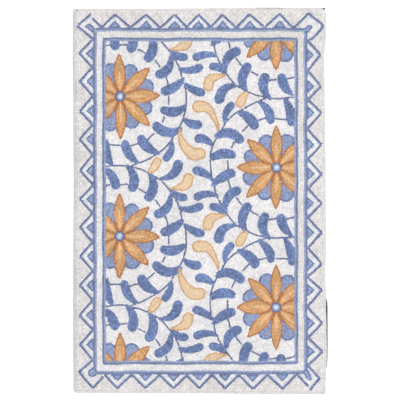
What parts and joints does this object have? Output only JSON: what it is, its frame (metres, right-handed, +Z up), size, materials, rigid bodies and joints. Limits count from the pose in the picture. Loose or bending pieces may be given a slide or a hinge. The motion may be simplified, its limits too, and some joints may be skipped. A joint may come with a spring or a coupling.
{
  "type": "hooked wool rug",
  "caption": "Flat rectangular hooked wool rug with looped pile, zigzag border, leafy vines and star flowers, whipped rim and dark backing cloth.",
  "frame": {"origin": "on the floor, under the middle of the rug's bounding box", "axes": "+X across the rug's width, +Y along its length towards the end shown uppermost, +Z up from the underside to the pile"},
  "size_m": [0.61, 0.9262, 0.0093],
  "materials": {
    "wool_pile": "matte looped wool pile, ivory ground with blue, periwinkle, gold and beige yarn",
    "backing_cloth": "matte dark grey-green plain-woven cotton"
  },
  "bodies": {
    "root": {"hooked_panel": "wool_pile", "backing_cloth": "backing_cloth"}
  },
  "joints": []
}
